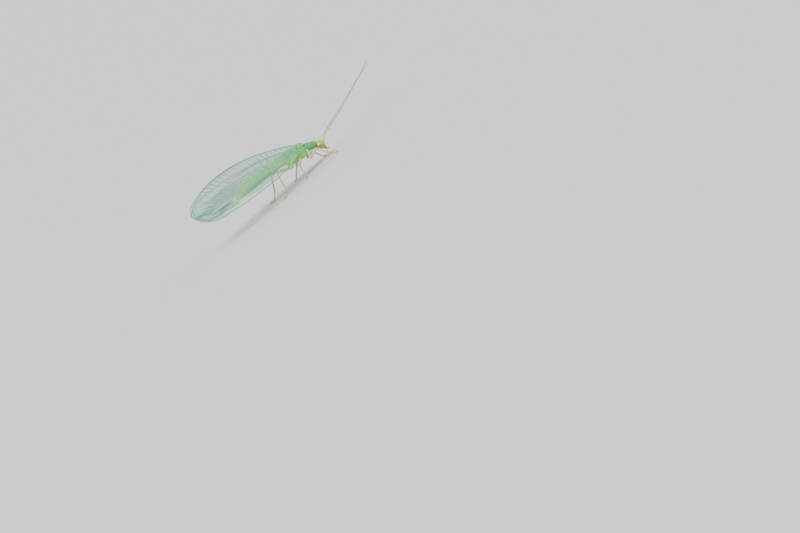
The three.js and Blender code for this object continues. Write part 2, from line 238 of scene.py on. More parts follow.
# A limb's length between two joints. shape(t) gives its radius, and the rings lie closer at its ends.
def rod(start, end, shape, sides=12, rings=16):
    start, end = Vector(start), Vector(end)
    bm = drum(sides, rings)
    turn = (end - start).to_track_quat("Z", "Y")
    for v in bm.verts:
        t = 0.5 - 0.5 * math.cos(math.pi * (v.co.z + 0.5))
        radius = shape(t)
        v.co = start.lerp(end, t) + turn @ Vector((v.co.x * radius, v.co.y * radius, 0))
    return bm


def joined(parts):
    whole = bmesh.new()
    for part in parts:
        passing = bpy.data.meshes.new("passing")
        part.to_mesh(passing)
        part.free()
        whole.from_mesh(passing)
        bpy.data.meshes.remove(passing)
    return whole


def finished(bm, name, material, nodes):
    bmesh.ops.transform(bm, matrix=Matrix.Translation(SHIFT) @ Matrix.Scale(MM, 4), verts=bm.verts)
    mesh = bpy.data.meshes.new(name)
    bm.to_mesh(mesh)
    bm.free()
    mesh.shade_smooth()
    mesh.materials.append(material)
    piece = bpy.data.objects.new(name, mesh)
    bpy.context.scene.collection.objects.link(piece)
    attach(piece, "root")
    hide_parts(*nodes)
    triangles = sum(len(p.vertices) - 2 for p in mesh.polygons)
    print(f"{name}: {triangles} triangles")
    return piece


# %% [markdown]
# Overlapping forms of flesh are fused into one skin, as clay is. A voxel remesh does this: it keeps
# only the outer surface. It runs while the shape is still in millimetres, because it takes no voxel
# below a ten-thousandth of a unit, and in metres that is a tenth of a millimetre, which is too coarse.

# %% Fusing forms into one skin
def fused(parts, voxel, rounds):
    raw = joined(parts)
    mesh = bpy.data.meshes.new("raw")
    raw.to_mesh(mesh)
    raw.free()
    clay = bpy.data.objects.new("clay", mesh)
    bpy.context.scene.collection.objects.link(clay)
    remesh = clay.modifiers.new("Fuse", "REMESH")
    remesh.mode = "VOXEL"
    remesh.voxel_size = voxel
    graph = bpy.context.evaluated_depsgraph_get()
    skin = bpy.data.meshes.new_from_object(clay.evaluated_get(graph))
    bpy.data.objects.remove(clay)
    bm = bmesh.new()
    bm.from_mesh(skin)
    bpy.data.meshes.remove(skin)
    for _ in range(rounds):
        bmesh.ops.smooth_vert(
            bm, verts=bm.verts, factor=0.5, use_axis_x=True, use_axis_y=True, use_axis_z=True
        )
    bmesh.ops.recalc_face_normals(bm, faces=bm.faces)
    return bm


# %% [markdown]
# The trunk, from the neck to the tail, is a tube whose middle line and girth come from a short table:
# place along the body, height, half height and half width. Eight rings of the abdomen show as grooves.

# %% The trunk's form
TRUNK = (
    (2.72, 1.72, 0.30, 0.34),
    (2.50, 1.81, 0.38, 0.46),
    (2.05, 2.00, 0.40, 0.55),
    (1.62, 2.18, 0.41, 0.52),
    (1.42, 2.22, 0.42, 0.46),
    (1.20, 2.27, 0.62, 0.62),
    (0.88, 2.33, 0.74, 0.74),
    (0.50, 2.40, 0.72, 0.74),
    (0.12, 2.45, 0.64, 0.66),
    (-0.25, 2.56, 0.67, 0.68),
    (-0.68, 2.68, 0.65, 0.64),
    (-1.10, 2.78, 0.56, 0.54),
    (-1.50, 2.85, 0.51, 0.47),
    (-2.20, 2.96, 0.61, 0.55),
    (-3.15, 3.08, 0.66, 0.62),
    (-4.20, 3.16, 0.67, 0.65),
    (-5.30, 3.18, 0.64, 0.62),
    (-6.20, 3.12, 0.52, 0.53),
    (-7.00, 3.03, 0.39, 0.41),
    (-7.50, 2.95, 0.26, 0.27),
    (-7.66, 2.92, 0.10, 0.12),
)
RING_FROM, RING_TO, RING_COUNT = -1.55, -7.3, 8
RING_WIDTH, RING_DEPTH = 0.07, 0.045  # the width is a share of the space between two rings
BEYOND = 0.3  # the first and last grooves fade out over this share of a space


def girth(x, column):
    for front, rear in zip(TRUNK, TRUNK[1:]):
        if x >= rear[0]:
            return mix(front[column], rear[column], smooth(x, front[0], rear[0]))
    return TRUNK[-1][column]


def ring_groove(x):
    place = (RING_FROM - x) / (RING_FROM - RING_TO) * RING_COUNT
    if place < -BEYOND or place > RING_COUNT + BEYOND:
        return 0
    return math.exp(-((place - round(place)) / RING_WIDTH) ** 2)


trunk_way = path([(x, 0, z) for x, z, *_ in TRUNK])


def trunk_radii(t):
    x = trunk_way(t).x
    groove = RING_DEPTH * ring_groove(x)
    return girth(x, 2) - groove, girth(x, 3) - groove


print("trunk", round(trunk_way.length, 2), "mm long")

# %% [markdown]
# The thorax is more than a tube. Its back carries two pairs of rounded lobes over the wing muscles,
# with a small shield behind each pair, the wings hinge on knobs at its sides, and the legs hang from
# swellings below. The head is a short capsule with a bulging face, a tapering mouth shield and two
# cups at the front for the feelers. All of them are blobs, fused with the trunk into one skin.

# %% The skin of the head, thorax and abdomen
def pair(place, radii, tilt=0.0, turn=0.0):
    x, y, z = place
    return [blob((x, side * y, z), radii, tilt, side * turn) for side in (1, -1)]


SKIN_VOXEL, SKIN_ROUNDS = 0.036, 3
TRUNK_SIDES, TRUNK_RINGS = 44, 240
thorax_forms = [
    # the neck shield
    blob((2.08, 0, 2.16), (0.46, 0.6, 0.24), 0.42),
    blob((1.62, 0, 2.36), (0.2, 0.52, 0.22), 0.42),
    # the lobes and shields of the back
    *pair((1.08, 0.3, 2.78), (0.44, 0.36, 0.3), 0.2, 0.25),
    blob((0.95, 0, 2.84), (0.4, 0.2, 0.22), 0.2),
    blob((0.46, 0, 3.0), (0.24, 0.32, 0.18), 0.2),
    *pair((-0.12, 0.3, 3.02), (0.36, 0.32, 0.24), 0.25, 0.2),
    blob((-0.62, 0, 3.18), (0.24, 0.34, 0.17), 0.2),
    # the knobs of the wings' hinges
    *pair((0.95, 0.62, 2.72), (0.24, 0.16, 0.16), 0.2),
    *pair((-0.32, 0.54, 2.96), (0.2, 0.14, 0.14), 0.2),
    # the swellings that the legs hang from
    *pair((0.72, 0.46, 1.98), (0.42, 0.3, 0.42), 0.1),
    *pair((-0.3, 0.4, 2.14), (0.4, 0.28, 0.38), 0.1),
    *pair((1.55, 0.26, 1.98), (0.24, 0.22, 0.3)),
]
head_forms = [
    # the head, its shield and cheeks, the feelers' cups and the neck
    blob((2.94, 0, 1.5), (0.37, 0.52, 0.46), 0.25),
    blob((2.76, 0, 1.66), (0.28, 0.44, 0.3), 0.3),
    blob((3.12, 0, 1.2), (0.22, 0.31, 0.33), 0.45),
    blob((3.2, 0, 1.08), (0.13, 0.2, 0.24), 0.6),
    *pair((2.97, 0.28, 1.2), (0.2, 0.16, 0.28), 0.4),
    *pair((3.25, 0.17, 1.5), (0.14, 0.12, 0.12)),
    blob((2.55, 0, 1.76), (0.28, 0.34, 0.3), 0.4),
]
trunk = tube(trunk_way, trunk_radii, TRUNK_SIDES, TRUNK_RINGS)
skin = fused([trunk, *thorax_forms, *head_forms], SKIN_VOXEL, SKIN_ROUNDS)
print("skin", len(skin.verts), "vertices")

# %% [markdown]
# Hard plates of cuticle meet at seams, and these grooves give an insect's thorax its look. Each seam
# here is a slanting line round the trunk, given by its place, its slope and its depth. The skin is
# pressed in along them. One more seam runs along the middle of the back, and one arches over the
# mouth, between the face and its shield.

# %% Seams between the plates
SEAMS = (
    (2.38, 0.35, 0.014),
    (2.02, 0.35, 0.018),
    (1.72, 0.35, 0.016),
    (1.36, 0.3, 0.045),
    (0.66, 0.4, 0.03),
    (0.12, 0.3, 0.045),
    (-0.46, 0.35, 0.028),
    (-1.2, 0.2, 0.035),
)
SEAM_WIDTH = 0.045
BACK_DEPTH, BACK_WIDTH = 0.022, 0.03
FACE_FROM, FACE_TOP, FACE_ARCH = 3.0, 1.17, 1.6
FACE_DEPTH, FACE_WIDTH = 0.02, 0.03
skin.normal_update()
pressed = {}
for v in skin.verts:
    x, y, z = v.co
    depth = sum(
        deep * math.exp(-(((x - place - slope * (z - girth(x, 1))) / SEAM_WIDTH) ** 2))
        for place, slope, deep in SEAMS
    )
    middle = BACK_DEPTH * math.exp(-((y / BACK_WIDTH) ** 2)) * smooth(x, 0.5, 0.6) * smooth(x, 1.45, 1.3)
    depth += middle * smooth(v.normal.z, 0.2, 0.6)
    if x > FACE_FROM:
        arch = z - FACE_TOP - FACE_ARCH * y * y
        depth += FACE_DEPTH * math.exp(-((arch / FACE_WIDTH) ** 2))
    pressed[v] = v.co - v.normal * depth
for v, co in pressed.items():
    v.co = co
print("deepest seam", max(deep for *_, deep in SEAMS), "mm")

# %% [markdown]
# The living colours lie under a thin, slightly glossy skin: yellow-green on the head, leaf green with
# a pale line along the neck shield, sea green on the back of the thorax, and a pale, almost milky
# green on the soft abdomen, browner below. A dark streak runs from each eye to the mouth. They follow
# the body's parts, so they are painted on the skin's points, and the material adds fine mottling.

# %% Painting the skin
def shade_of(*steps):
    """Blends colours: each step is (colour, share), laid over the ones before."""
    colour = Vector(linear(steps[0]))
    for over, share in steps[1:]:
        colour = colour.lerp(Vector(linear(over)), min(max(share, 0), 1))
    return colour


FINE_RING = 0.36  # from one fine line of colour on the abdomen to the next
STREAK_WIDTH = 0.085
CHEEK_TOP = Vector((2.95, 0.42, 1.3))
CHEEK_WAY = Vector((3.16, 0.22, 1.0)) - CHEEK_TOP


def skin_colour(p, normal):
    x, y, z = p
    side = abs(y)
    up = normal.z
    rough = 0.5 + 0.5 * noise.noise(p * 5)
    fine = 0.5 + 0.5 * noise.noise(p * 14 + Vector((7, 3, 1)))
    below = smooth(girth(x, 1) - 0.05 - z, 0, 0.45)
    abdomen = smooth(x, -0.8, -1.9)
    hind = smooth(x, 0.2, -0.1) * (1 - abdomen)
    neck = smooth(x, 1.3, 1.5) * (1 - smooth(x, 2.55, 2.7))
    head = smooth(x - 0.5 * (z - 1.6), 2.5, 2.68)
    thorax = (1 - head) * (1 - abdomen) * (1 - neck)
    cheek = Vector((x, side, z)) - CHEEK_TOP
    reach = min(max(cheek.dot(CHEEK_WAY) / CHEEK_WAY.length_squared, 0), 1)
    streak = math.exp(-(((cheek - CHEEK_WAY * reach).length / STREAK_WIDTH) ** 2))
    return shade_of(
        "#6fcb63",
        ("#8cdb80", rough * 0.7),
        ("#b4dd7c", below * 0.8),
        ("#5fcf9c", 0.7 * hind * smooth(up, 0.1, 0.7)),
        ("#6ad3a6", 0.55 * smooth(up, 0.4, 0.9) * thorax),
        ("#2f9a4c", 0.7 * thorax * smooth(fine, 0.62, 0.85)),
        ("#35a552", 0.85 * neck),
        ("#c5e8a0", 0.75 * neck * math.exp(-((side / 0.12) ** 2)) * smooth(up, 0.2, 0.6)),
        ("#bfe8ae", 0.6 * neck * smooth(fine, 0.6, 0.8)),
        ("#b0f080", abdomen),
        ("#74e8a0", 0.7 * abdomen * smooth(x, -4.6, -1.6) * smooth(up, -0.1, 0.6)),
        ("#a2f096", 0.4 * abdomen * smooth(up, 0.45, 0.95)),
        ("#d2fbae", 0.8 * abdomen * smooth(rough, 0.4, 0.75)),
        ("#86c080", 0.55 * abdomen * ring_groove(x)),
        ("#93cf8c", 0.3 * abdomen * smooth(math.cos(x * math.tau / FINE_RING), 0.4, 1)),
        ("#8aa35c", 0.8 * abdomen * below),
        ("#dcf7e2", 0.8 * smooth(x, -6.9, -7.6)),
        ("#b9d63f", head),
        ("#e0ea78", 0.6 * head * smooth(up, 0.3, 0.9)),
        ("#74351f", 0.85 * streak),
        ("#d08c5e", 0.7 * head * smooth(z, 1.02, 0.86)),
        ("#5fa94a", 0.25 * smooth(fine, 0.5, 0.9)),
    )


def painted(bm, colour_of):
    layer = bm.verts.layers.float_color.new("Paint")
    bm.normal_update()
    for v in bm.verts:
        v[layer] = (*colour_of(v.co, v.normal), 1)


painted(skin, skin_colour)
print("painted", len(skin.verts), "points")

# %% [markdown]
# Insect skin is cuticle: hard and smooth on the head, softer and finely folded on the abdomen. It is
# semi-clear, so light enters and comes back softly. Small pits and folds of a few hundredths of a
# millimetre break the gloss, and rings of fine folds, about a sixth of a millimetre apart, cross the
# abdomen.

# %% Cuticle
BANDS = 20 / math.tau  # the wave texture has this many bands to a unit of length at a scale of one
BUMP_MM = 0.02
GLOW_MM = 0.15  # how far light spreads under the surface


def cuticle(name, grain_mm, gloss, folds_mm=0.0, depth=0.35, soft=0.25):
    made, tree = blank(name)
    paint = add(tree, "ShaderNodeAttribute", attribute_name="Paint")
    place = add(tree, "ShaderNodeTexCoord").outputs["Object"]
    grain = add(
        tree, "ShaderNodeTexNoise",
        {"Vector": place, "Scale": 1 / (grain_mm * MM), "Detail": 4, "Roughness": 0.6},
    ).outputs["Fac"]
    mottle = add(
        tree, "ShaderNodeMapRange",
        {"Value": grain, "From Min": 0.3, "From Max": 0.7, "To Min": 0.82, "To Max": 1.12},
    )
    tint = add(
        tree, "ShaderNodeHueSaturation",
        {"Color": paint.outputs["Color"], "Value": mottle.outputs["Result"]},
    )
    height = grain
    if folds_mm:
        waves = add(
            tree, "ShaderNodeTexWave",
            {
                "Vector": place,
                "Scale": 1 / (folds_mm * MM) / BANDS,
                "Distortion": 1.2,
                "Detail": 2,
                "Detail Scale": 1.5,
            },
            wave_type="BANDS", bands_direction="X",
        )
        both = add(tree, "ShaderNodeMath", {0: waves.outputs["Fac"], 1: grain}, operation="ADD")
        height = both.outputs["Value"]
    bump = add(
        tree, "ShaderNodeBump", {"Height": height, "Strength": depth, "Distance": BUMP_MM * MM}
    )
    gloss_range = add(
        tree, "ShaderNodeMapRange", {"Value": grain, "To Min": gloss - 0.12, "To Max": gloss + 0.12}
    )
    close(tree, add(
        tree, "ShaderNodeBsdfPrincipled",
        {
            "Base Color": tint.outputs["Color"],
            "Roughness": gloss_range.outputs["Result"],
            "Normal": bump.outputs["Normal"],
            "IOR": 1.5,
            "Subsurface Weight": soft,
            "Subsurface Radius": (0.6, 1.0, 0.4),
            "Subsurface Scale": GLOW_MM * MM,
        },
    ))
    return made


skin_finish = cuticle("living cuticle, folded and satin", 0.09, 0.42, folds_mm=0.16)
TRUNK_NODES = ["head", "prothorax", "mesothorax", "metathorax", "abdomen"]
body = finished(skin, "body_skin", skin_finish, TRUNK_NODES)

# %% [markdown]
# A lacewing's eyes are its jewels: domes of hundreds of six-sided lenses with a golden, metallic
# glint. Each is a ball sunk in the side of the head. The lenses are a cell pattern of 0.035 mm, drawn
# a little coarser than life so that it shows.

# %% Eyes
EYE_RADIUS, EYE_FLAT, EYE_ASIDE = 0.31, 0.95, 0.49
LENS_MM, CLOUD_MM, LENS_HEIGHT = 0.035, 0.25, 0.01
eye_finish, tree = blank("golden compound eye")
place = add(tree, "ShaderNodeTexCoord").outputs["Object"]
lenses = add(tree, "ShaderNodeTexVoronoi", {"Vector": place, "Scale": 1 / (LENS_MM * MM)})
glow = add(tree, "ShaderNodeTexNoise", {"Vector": place, "Scale": 1 / (CLOUD_MM * MM), "Detail": 2})
ramp = add(tree, "ShaderNodeValToRGB", {"Fac": glow.outputs["Fac"]})
ramp.color_ramp.elements[0].position = 0.35
ramp.color_ramp.elements[0].color = (*linear("#a4682c"), 1)
ramp.color_ramp.elements[1].position = 0.65
ramp.color_ramp.elements[1].color = (*linear("#ecce68"), 1)
dome = add(
    tree, "ShaderNodeBump",
    {"Height": lenses.outputs["Distance"], "Strength": 0.5, "Distance": LENS_HEIGHT * MM}, invert=True,
)
close(tree, add(
    tree, "ShaderNodeBsdfPrincipled",
    {
        "Base Color": ramp.outputs["Color"],
        "Metallic": 0.55,
        "Roughness": 0.22,
        "Normal": dome.outputs["Normal"],
        "Coat Weight": 0.6,
        "Coat Roughness": 0.08,
    },
))


def eye_place(side):
    return Vector((EYE_PLACE.x, side * EYE_ASIDE, EYE_PLACE.z))


SIDES = (("left", 1), ("right", -1))
for word, side in SIDES:
    ball = blob(eye_place(side), (EYE_RADIUS, EYE_RADIUS * EYE_FLAT, EYE_RADIUS), sides=40)
    finished(ball, f"eye_{word}_dome", eye_finish, [f"eye_{word}"])

# %% [markdown]
# A feeler has a thick first joint in its cup, a round second one, and then a whip of nearly ninety
# short joints, each a little wider at its far end. The whip is one tube whose width steps with them.

# %% Feelers
FEELERS = {
    "left": (
        (3.35, 0.17, 1.52), (3.95, 0.42, 1.95), (5.6, 0.9, 2.35),
        (8.26, 1.5, 3.0), (10.6, 2.05, 3.6), (12.8, 2.49, 4.06),
    ),
    "right": (
        (3.35, -0.17, 1.52), (3.95, -0.42, 1.98), (5.5, -0.9, 2.5),
        (7.8, -1.5, 3.35), (9.8, -2.0, 4.15), (11.57, -2.49, 4.96),
    ),
}
FEELER_JOINTS = 88
FIRST_JOINT, FIRST_END = 0.13, 0.035
SECOND_JOINT, SECOND_END = 0.085, 0.055
WHIP_ROOT, WHIP_TIP = 0.062, 0.036
ROUNDED = 0.004  # the share of the whip over which its tip rounds off


def feeler_radius(t):
    if t < FIRST_END:
        width = FIRST_JOINT * math.sqrt(max(0.2, math.sin(math.pi * (0.15 + 0.75 * t / FIRST_END))))
    elif t < SECOND_END:
        share = (t - FIRST_END) / (SECOND_END - FIRST_END)
        width = SECOND_JOINT * math.sqrt(max(0.35, math.sin(math.pi * share)))
    else:
        joint = (t - SECOND_END) / (1 - SECOND_END) * FEELER_JOINTS % 1
        swell = 0.82 + 0.22 * math.sin(math.pi * min(joint * 1.15, 1))
        width = mix(WHIP_ROOT, WHIP_TIP, t) * swell
    width *= math.sqrt(min(1, (1 - t) / ROUNDED + 0.05))
    return width, width


def feeler_colour(p, normal):
    whip = smooth(p.x, 3.6, 4.4)
    return shade_of("#cfdc8e", ("#c9a78f", whip), ("#a98574", 0.5 * smooth(p.x, 7, 12)))


feeler_finish = cuticle("feeler cuticle, ringed and matt", 0.05, 0.5, soft=0.15)
for word, points in FEELERS.items():
    whip = tube(path(points), feeler_radius, 10, FEELER_JOINTS * 4)
    painted(whip, feeler_colour)
    finished(whip, f"feeler_{word}", feeler_finish, [f"antenna_{word}"])

# %% [markdown]
# The mouth: an upper lip under the shield, two small jaws, and two pairs of jointed palps that hang
# in front of it, the outer pair of four joints and the inner pair of three.

# %% Mouthparts
def bead(radius):
    return lambda t: radius * (0.25 + 0.75 * math.sin(math.pi * min(max(t, 0.02), 0.98)) ** 0.5)


PALPS = (
    ((3.14, 0.2, 1.02), (3.18, 0.28, 0.9), (3.23, 0.32, 0.79), (3.31, 0.34, 0.7), (3.4, 0.34, 0.64)),
    ((3.12, 0.08, 0.96), (3.15, 0.11, 0.82), (3.2, 0.13, 0.7), (3.29, 0.14, 0.62)),
)
PALP, PALP_THINS = 0.055, 0.005  # the first joint's radius, and how much thinner each next one is
mouth_parts = [
    blob((3.22, 0, 0.94), (0.08, 0.16, 0.12), 0.4),
    *pair((3.13, 0.1, 0.88), (0.1, 0.1, 0.15), 0.3),
]
for joints in PALPS:
    for side in (1, -1):
        places = [(x, side * y, z) for x, y, z in joints]
        for i, (a, b) in enumerate(zip(places, places[1:])):
            mouth_parts.append(rod(a, b, bead(PALP - PALP_THINS * i)))


def mouth_colour(p, normal):
    tips = 0.4 * smooth(p.z, 0.62, 0.5)
    return shade_of("#c9b27c", ("#c48a66", smooth(p.z, 0.95, 0.7)), ("#8a5a3e", tips))


mouth = joined(mouth_parts)
painted(mouth, mouth_colour)
finished(mouth, "mouth", feeler_finish, ["mouthparts"])

# %% [markdown]
# A leg is five lengths: a stout hip, a small ring, a thigh that is thickest in its middle, a slender
# shin that widens at its end, and a foot of five short beads with two claws. The feet stand on the
# floor. Hips sink into the thorax, so no gap shows.

# %% Legs
# Hip, ring, knee and ankle, and the toe's place on the floor.
LEGS = {
    "front_right": (
        (1.45, -0.3, 2.0), (1.14, -0.78, 1.17), (1.9, -1.5, 1.62), (2.62, -1.8, 0.56), (3.3, -1.96),
    ),
    "front_left": (
        (1.45, 0.3, 2.0), (1.3, 0.8, 1.2), (2.2, 1.5, 1.3), (2.6, 1.36, 0.44), (3.05, 1.26),
    ),
    "mid_right": (
        (0.42, -0.38, 1.9), (-0.12, -0.9, 1.5), (-0.48, -1.62, 1.5), (-0.72, -2.0, 0.62), (-0.95, -2.25),
    ),
    "mid_left": (
        (0.42, 0.38, 1.9), (-0.02, 0.9, 1.45), (0.1, 1.68, 1.2), (-0.5, 2.05, 0.5), (-0.95, 2.3),
    ),
    "hind_right": (
        (-0.55, -0.36, 2.2), (-0.95, -0.72, 1.66), (-2.66, -1.1, 2.36), (-3.12, -1.8, 0.78), (-3.95, -2.05),
    ),
    "hind_left": (
        (-0.55, 0.36, 2.2), (-0.95, 0.72, 1.66), (-2.66, 1.1, 2.36), (-3.4, 1.75, 0.68), (-4.3, 2.05),
    ),
}
HIP, THIGH, SHIN, FOOT, CLAW = 0.17, 0.115, 0.078, 0.062, 0.018
FOOT_JOINTS = 5
SOLE_LIFT = 0.03


def hip_shape(t):
    return mix(HIP, THIGH, t * t) * (1 if t < 0.9 else 1.05 - 0.5 * (t - 0.9))


def thigh_shape(t):
    return THIGH * (0.72 + 0.42 * math.sin(math.pi * t ** 0.8))


def shin_shape(t):
    return SHIN * (0.86 + 0.1 * math.sin(math.pi * t) + 0.22 * smooth(t, 0.85, 1))


def foot_shape(size):
    return lambda t: size * (0.7 + 0.35 * math.sin(math.pi * t ** 0.8))


def claw_radii(t):
    return CLAW * (1.05 - t), CLAW * (1.05 - t)


def foot_way(points):
    ankle, toe = Vector(points[3]), Vector((*points[4], FOOT))
    sole = Vector((mix(ankle.x, toe.x, 0.5), mix(ankle.y, toe.y, 0.5), FOOT + SOLE_LIFT))
    return path([ankle, ankle.lerp(sole, 0.6) + Vector((0, 0, SOLE_LIFT)), sole, toe])


def leg_form(points):
    hip, ring, knee, ankle = (Vector(p) for p in points[:4])
    toe = Vector((*points[4], FOOT))
    parts = [
        rod(hip, ring, hip_shape),
        blob(ring, (THIGH * 1.12,) * 3, sides=16),
        rod(ring, knee, thigh_shape, 12, 20),
        blob(knee, (SHIN * 1.25,) * 3, sides=16),
        rod(knee, ankle, shin_shape, 12, 20),
        blob(ankle, (SHIN * 1.05,) * 3, sides=12),
    ]
    track = foot_way(points)
    ends = [track(i / FOOT_JOINTS) for i in range(FOOT_JOINTS + 1)]
    for i, (a, b) in enumerate(zip(ends, ends[1:])):
        parts.append(rod(a, b, foot_shape(FOOT * (0.95 - 0.05 * i)), 10, 8))
    ahead = (toe - track(0.7)).normalized()
    across = ahead.cross(UP).normalized()
    parts.append(blob(toe, (0.07, 0.06, 0.05), sides=12))
    for side in (1, -1):
        root = toe + across * side * 0.03
        bend = root + ahead * 0.07 + across * side * 0.04 + UP * 0.015
        point = root + ahead * 0.12 + across * side * 0.06 - UP * 0.045
        parts.append(tube(path([root, bend, point]), claw_radii, 6, 8))
    return parts


def leg_colour(p, normal):
    down = smooth(p.z, 1.7, 0.2)
    out = smooth(abs(p.y), 0.9, 1.9)
    return shade_of(
        "#a9d37f",
        ("#cfdcae", smooth(abs(p.y), 0.7, 1.3)),
        ("#e3c3a6", 0.85 * out * down),
        ("#d99a82", 0.75 * smooth(p.z, 0.55, 0.1)),
        ("#8a5644", 0.5 * smooth(p.z, 0.16, 0.03)),
    )


leg_finish = cuticle("leg cuticle, pale and satin", 0.06, 0.42, soft=0.2)
for name, points in LEGS.items():
    limb = joined(leg_form(points))
    painted(limb, leg_colour)
    finished(limb, f"{name}_limb", leg_finish, [f"leg_{name}"])

# %% [markdown]
# The folded wings make a roof: each one leaves the thorax, stands almost upright over the back and
# slopes out to the side. Seen from the side, a wing's outline is two lines, the stout front edge
# below and the hind edge along the ridge. A place on a wing is a share u of the way out and a share v
# of the way across, and the roof says how far to the side it lies.

# %% The roof of the wings
RIDGE = (3.755, -0.6012, -0.03557)  # its height at the origin, its rise and its bend
FRONT_LEAN, LESS_LEAN, LEAN_POWER, LEAN_FROM, LEAN_LENGTH = 46, 30, 1.5, 0.5, 12
FRONT_OPEN, OPEN_REAR, OPEN_FRONT = 0.5, -5, 1
LEAST_ASIDE = 0.06
TIP_BULGE, TIP_FROM = 0.08, 0.94  # how far the rounded tip stands out past a straight one
# inset is how far a wing lies under the roof, open is half the gap at the ridge, root is how far the
# hinge lies to the side, and blend is the share of the wing that leads from there up to the roof.
# stout and pale are for its veins. The edges are places (x, z) seen from the side, from root to tip.
FOREWING = {
    "inset": 0.0, "open": 0.17, "root": 0.5, "blend": 0.085, "stout": 0.95, "pale": 0.0,
    "costal": (
        (0.98, 2.55), (-0.78, 2.39), (-3.17, 2.14), (-5.89, 2.28),
        (-8.08, 2.48), (-10.16, 2.75), (-11.12, 3.36), (-11.6, 4.05),
    ),
    "hind": (
        (1.02, 2.95), (-0.05, 3.65), (-1.7, 4.43), (-3.69, 5.25), (-5.87, 5.76),
        (-7.9, 5.93), (-9.28, 5.84), (-10.75, 5.5), (-11.4, 5.2), (-11.74, 4.68),
    ),
}
HINDWING = {
    "inset": 0.3, "open": 0.17, "root": 0.45, "blend": 0.11, "stout": 0.52, "pale": 0.55,
    "costal": (
        (-0.35, 2.85), (-1.5, 2.9), (-2.9, 2.62), (-4.6, 2.5),
        (-6.6, 2.66), (-8.7, 2.9), (-10.1, 3.3), (-10.6, 3.7),
    ),
    "hind": (
        (-0.3, 3.2), (-1.4, 3.72), (-3.0, 4.3), (-5.0, 4.62),
        (-7.0, 4.72), (-8.8, 4.6), (-10.0, 4.35), (-10.62, 4.02),
    ),
}


def roof(x, z, form):
    ridge = RIDGE[0] + RIDGE[1] * x + RIDGE[2] * x * x
    back = min(max((LEAN_FROM - x) / LEAN_LENGTH, 0), 1)
    lean = math.radians(FRONT_LEAN - LESS_LEAN * back**LEAN_POWER)
    aside = form["open"] + FRONT_OPEN * smooth(x, OPEN_REAR, OPEN_FRONT)
    return aside + max(ridge - z, 0) * math.tan(lean) - form["inset"] / math.cos(lean)


def edge_way(form, edge):
    return path([(x, 0, z) for x, z in form[edge]])


def wing_surface(form, side):
    costal = edge_way(form, "costal")
    hind = edge_way(form, "hind")

    def at(u, v):
        point = costal(u).lerp(hind(u), v)
        point.x -= TIP_BULGE * 4 * v * (1 - v) * smooth(u, TIP_FROM, 1)
        out = mix(form["root"], roof(point.x, point.z, form), smooth(u, 0, form["blend"]))
        point.y = side * max(out, LEAST_ASIDE)
        return point

    return at


print("forewing", round(edge_way(FOREWING, "costal").length, 1), "mm along its front edge")

# %% [markdown]
# A lacewing's wing is known by its veins. Behind the front edge run two close ones, with a ladder of
# cross veins to the edge. A third sends some twenty branches slanting back, which run into two zigzag
# veins, and from the last of these a row of veins slants to the hind edge, each forked there. Rows of
# steps join the branches, and short twigs end at the tip. Each vein here is a line of (u, v) places.

# %% The pattern of veins
def along(points, count=24):
    way = path([(u, v, 0) for u, v in points])
    return [(way(i / count).x, way(i / count).y) for i in range(count + 1)]


def at_share(vein, u):
    for (u0, v0), (u1, v1) in zip(vein, vein[1:]):
        if u <= u1:
            return mix(v0, v1, (u - u0) / max(u1 - u0, 1e-6))
    return vein[-1][1]


RIB, CROSS, TWIG = 0.03, 0.02, 0.0155
EDGE = [(0, 0), (1, 0)]
# The two close ones behind the front edge, the one that sends out branches, and the two zigzag ones.
LONG_VEINS = (
    ((0.0, 0.4), (0.06, 0.17), (0.2, 0.105), (0.5, 0.09), (0.75, 0.085), (0.84, 0.03)),
    ((0.0, 0.5), (0.06, 0.26), (0.2, 0.165), (0.5, 0.145), (0.75, 0.14), (0.92, 0.11), (0.995, 0.14)),
    ((0.1, 0.23), (0.2, 0.27), (0.4, 0.31), (0.6, 0.33), (0.8, 0.36), (0.93, 0.36), (1.0, 0.3)),
    ((0.02, 0.6), (0.1, 0.46), (0.25, 0.5), (0.45, 0.53), (0.65, 0.56), (0.8, 0.63), (0.9, 0.72)),
    ((0.02, 0.7), (0.1, 0.66), (0.25, 0.72), (0.5, 0.75), (0.7, 0.78), (0.86, 0.87), (0.99, 0.84)),
)
CLOSE_STEPS = 8  # cross veins between the two veins next to the front edge
BRANCH_PARTS = 12
BRANCHES_TO_TIP = 0.84  # the branches that end beyond this u run to the tip
STEP_ROWS = ((0.3, 2), (0.55, 1), (0.8, 1))  # a share of the way along the branches, the first branch
TIP_VEINS = 7


def ladder(front, rear, first, last, count, lean, thick):
    """Cross veins between two long veins, evenly spaced from u = first to u = last."""
    made = []
    for i in range(count):
        u = mix(first, last, i / (count - 1))
        made.append(([(u, at_share(front, u)), (u + lean, at_share(rear, u + lean))], thick))
    return made


